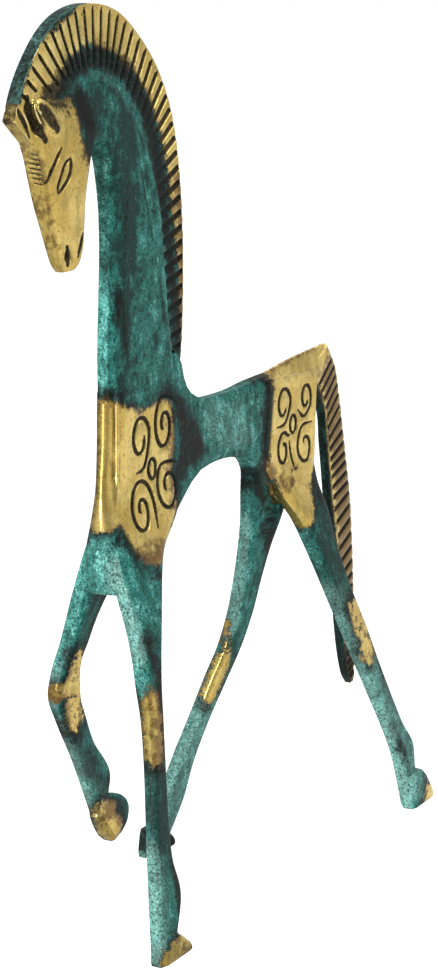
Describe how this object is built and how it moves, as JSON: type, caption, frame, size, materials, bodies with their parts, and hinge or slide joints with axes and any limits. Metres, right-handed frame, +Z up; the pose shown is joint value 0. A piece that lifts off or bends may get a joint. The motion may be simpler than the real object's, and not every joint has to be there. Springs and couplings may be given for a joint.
{
  "type": "geometric bronze horse",
  "caption": "Slim striding horse statuette in the geometric style, cast in bronze, with a comb-cut arched crest and one forefoot raised.",
  "frame": {"origin": "on the ground, under the middle of the figure's box", "axes": "+Z up; the horse faces -Y and its left side is +X"},
  "size_m": [0.0736, 0.2544, 0.33],
  "materials": {
    "patinated_bronze": "mottled turquoise verdigris with dark hollows, rubbed back to bright metal on the head, crest, chest, haunch, tail and parts of the legs"
  },
  "bodies": {
    "root": {"horse": "patinated_bronze"}
  },
  "joints": []
}
